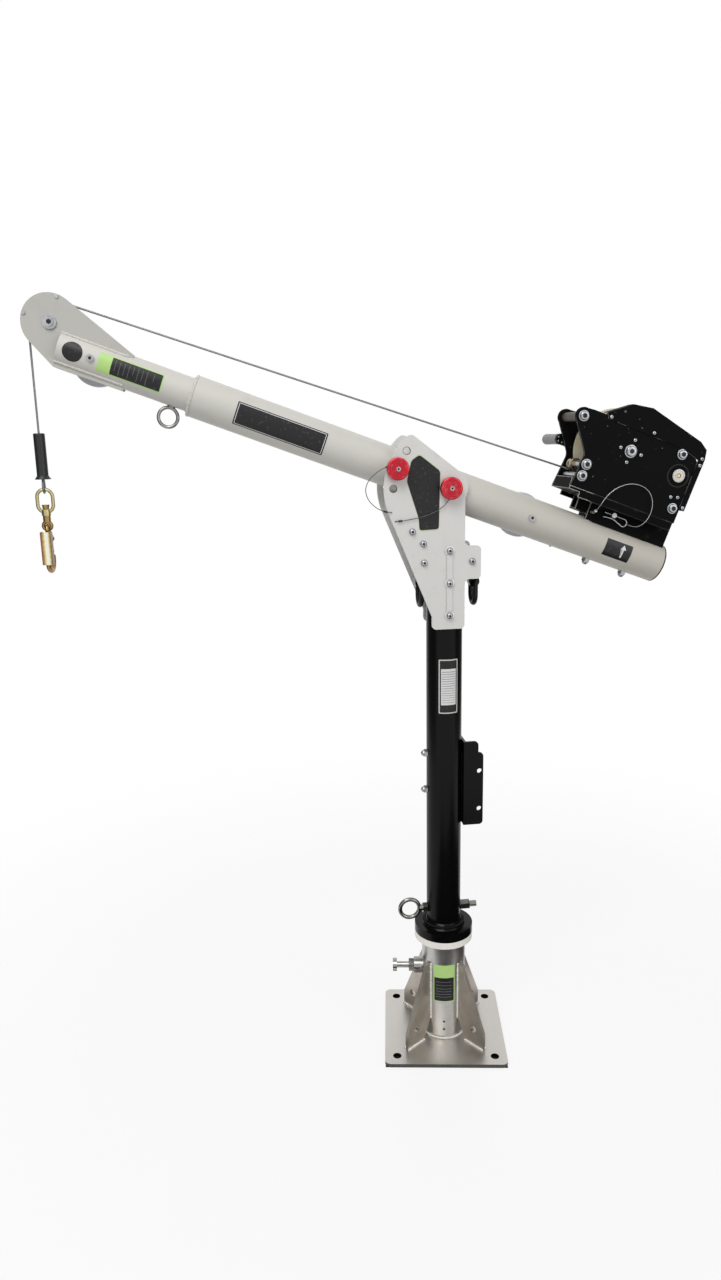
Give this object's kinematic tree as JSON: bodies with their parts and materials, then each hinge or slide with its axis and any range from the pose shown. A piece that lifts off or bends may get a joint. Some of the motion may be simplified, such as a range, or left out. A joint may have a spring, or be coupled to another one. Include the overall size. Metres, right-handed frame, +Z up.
{
  "type": "davit crane",
  "caption": "Swivelling davit crane with bolted floor socket, round mast, tilting boom with index pins, geared hand winch, head sheave and swivel snap hook.",
  "frame": {"origin": "middle of the base plate's underside, on the mast's axis, where the crane is bolted to the floor", "axes": "+Z up along the mast; the boom lies in the XZ plane with its head and hook towards -X and its winch towards +X; -Y is the side with the red pin knobs"},
  "size_m": [1.5651, 0.3678, 1.9018],
  "materials": {
    "stainless": "brushed stainless steel",
    "black_paint": "gloss black powder coat",
    "boom_paint": "light grey powder coat",
    "plate_alloy": "satin anodised aluminium",
    "nylon_white": "cream nylon",
    "pulley_nylon": "bluish white nylon",
    "zinc": "bright zinc plating",
    "gold_zinc": "yellow passivated zinc",
    "red_anodised": "red anodised, turned",
    "winch_black": "textured black powder coat",
    "rope_steel": "galvanised wire rope",
    "lanyard_steel": "thin stranded wire",
    "rubber": "black rubber",
    "black_plastic": "black polyethylene",
    "grip_grey": "plain turned alloy"
  },
  "bodies": {
    "base": {"base_plate": "stainless", "base_sleeve": "stainless", "gussets": "stainless", "mast_bushes": "nylon_white", "plunger_housing": "stainless", "plunger_spring": "zinc"},
    "plunger": {"plunger_pin": "zinc"},
    "mast": {"mast_tube": "black_paint", "mast_collar": "black_paint", "mast_eye_bolt": "zinc", "device_bracket": "stainless", "device_bracket_bolts": "zinc", "cheek_bars": "plate_alloy", "side_plate_near": "plate_alloy", "side_plate_far": "plate_alloy", "hinge_plate_bolts": "zinc", "ring_brackets": "black_paint", "pivot_lanyard": "lanyard_steel", "lock_lanyard": "lanyard_steel"},
    "anchor_ring_left": {"anchor_ring_left": "black_paint"},
    "anchor_ring_right": {"anchor_ring_right": "black_paint"},
    "pivot_pin": {"pivot_pin": "zinc", "pivot_knob": "red_anodised"},
    "boom": {"boom_outer_tube": "boom_paint", "boom_inner_tube": "boom_paint", "boom_end_cap": "black_plastic", "head_plates": "boom_paint", "head_pins": "zinc", "boom_eye_bolt": "zinc", "boom_bushes": "nylon_white", "boom_bolts": "zinc", "winch_rail": "winch_black", "winch_foot": "winch_black", "winch_side_near": "winch_black", "winch_side_far": "winch_black", "gear_cover": "winch_black", "winch_tie_rods": "zinc", "hitch_lanyard": "lanyard_steel", "rope_run": "rope_steel"},
    "lock_pin": {"lock_pin": "zinc", "lock_knob": "red_anodised"},
    "line_pulley_front": {"line_pulley_front": "pulley_nylon"},
    "line_pulley_rear": {"line_pulley_rear": "pulley_nylon"},
    "hitch_clip": {"hitch_clip": "zinc"},
    "drum": {"drum": "gold_zinc", "drum_gear": "zinc", "drum_rope": "rope_steel"},
    "crank": {"pinion_shaft": "zinc", "crank_arm": "winch_black"},
    "grip": {"crank_grip": "grip_grey"},
    "pawl": {"pawl": "zinc"},
    "sheave": {"sheave": "zinc"},
    "rope_line": {"rope_drop": "rope_steel"},
    "rope_end": {"stop_sleeve": "rubber", "rope_eye": "rope_steel", "oval_link": "gold_zinc"},
    "hook": {"hook_swivel": "gold_zinc", "hook_body": "gold_zinc", "hook_lever": "gold_zinc"},
    "gate": {"hook_gate": "gold_zinc"}
  },
  "joints": [
    {"name": "plunger_pull", "type": "slide", "parent": "base", "child": "plunger", "axis": [-0.9878, 0.1556, 0], "range_m": [0, 0.012], "stiffness_N_per_m": 600, "springref_m": -0.012, "deforming": ["plunger_spring"]},
    {"name": "mast_swivel", "type": "hinge", "parent": "base", "child": "mast", "pos_m": [0, 0, 0.305], "axis": [0, 0, 1], "continuous": true},
    {"name": "ring_left_swing", "type": "hinge", "parent": "mast", "child": "anchor_ring_left", "pos_m": [-0.061, 0, 1.24], "axis": [0, 1, 0], "range_deg": [-8, 85]},
    {"name": "ring_right_swing", "type": "hinge", "parent": "mast", "child": "anchor_ring_right", "pos_m": [0.072, 0, 1.24], "axis": [0, 1, 0], "range_deg": [-85, 15]},
    {"name": "pivot_pin_pull", "type": "slide", "parent": "mast", "child": "pivot_pin", "axis": [0, -1, 0], "range_m": [0, 0.13], "deforming": ["pivot_lanyard"]},
    {"name": "boom_tilt", "type": "hinge", "parent": "mast", "child": "boom", "pos_m": [0, 0, 1.469], "axis": [0, 1, 0], "range_deg": [-20, 20]},
    {"name": "lock_pin_pull", "type": "slide", "parent": "boom", "child": "lock_pin", "axis": [0, -1, 0], "range_m": [0, 0.11], "deforming": ["lock_lanyard"]},
    {"name": "line_pulley_front_spin", "type": "hinge", "parent": "boom", "child": "line_pulley_front", "pos_m": [-0.79149, 0.061, 1.76493], "axis": [0, 1, 0], "continuous": true},
    {"name": "line_pulley_rear_spin", "type": "hinge", "parent": "boom", "child": "line_pulley_rear", "pos_m": [0.20232, 0.061, 1.39335], "axis": [0, 1, 0], "continuous": true},
    {"name": "hitch_clip_pull", "type": "slide", "parent": "boom", "child": "hitch_clip", "axis": [0.9367, 0, -0.3502], "range_m": [0, 0.06], "deforming": ["hitch_lanyard"]},
    {"name": "drum_turn", "type": "hinge", "parent": "boom", "child": "drum", "pos_m": [0.43368, 0, 1.54386], "axis": [0, -1, 0], "range_deg": [0, 115]},
    {"name": "crank_turn", "type": "hinge", "parent": "boom", "child": "crank", "pos_m": [0.55486, 0, 1.48436], "axis": [0, -1, 0], "range_deg": [-300, 1]},
    {"name": "grip_spin", "type": "hinge", "parent": "crank", "child": "grip", "pos_m": [0.31227, 0.135, 1.57507], "axis": [0, 1, 0], "continuous": true},
    {"name": "pawl_lift", "type": "hinge", "parent": "boom", "child": "pawl", "pos_m": [0.49872, 0.049, 1.46083], "axis": [0, 1, 0], "range_deg": [0, 15], "stiffness_Nm_per_rad": 0.3, "springref_deg": -17.19},
    {"name": "sheave_turn", "type": "hinge", "parent": "boom", "child": "sheave", "pos_m": [-0.87291, 0, 1.84127], "axis": [0, 1, 0], "range_deg": [-1, 178]},
    {"name": "rope_plumb", "type": "hinge", "parent": "boom", "child": "rope_line", "pos_m": [-0.87291, 0, 1.84127], "axis": [0, 1, 0], "range_deg": [-21, 21], "deforming": ["rope_run"]},
    {"name": "hook_raise", "type": "slide", "parent": "rope_line", "child": "rope_end", "axis": [0, 0, 1], "range_m": [-0.001, 0.152], "deforming": ["rope_drop"]},
    {"name": "hook_turn", "type": "hinge", "parent": "rope_end", "child": "hook", "pos_m": [-0.92191, 0, 1.434], "axis": [0, 0, 1], "continuous": true},
    {"name": "gate_open", "type": "hinge", "parent": "hook", "child": "gate", "pos_m": [-0.92191, 0.015, 1.373], "axis": [-1, 0, 0], "range_deg": [0, 35], "stiffness_Nm_per_rad": 0.1, "springref_deg": -17.19}
  ],
  "couplings": [
    {"joint": "crank_turn", "follows": "drum_turn", "ratio": -2.6},
    {"joint": "sheave_turn", "follows": "drum_turn", "ratio": 1.5306},
    {"joint": "hook_raise", "follows": "drum_turn", "m_per_rad": 0.075},
    {"joint": "rope_plumb", "follows": "boom_tilt", "ratio": -1}
  ]
}
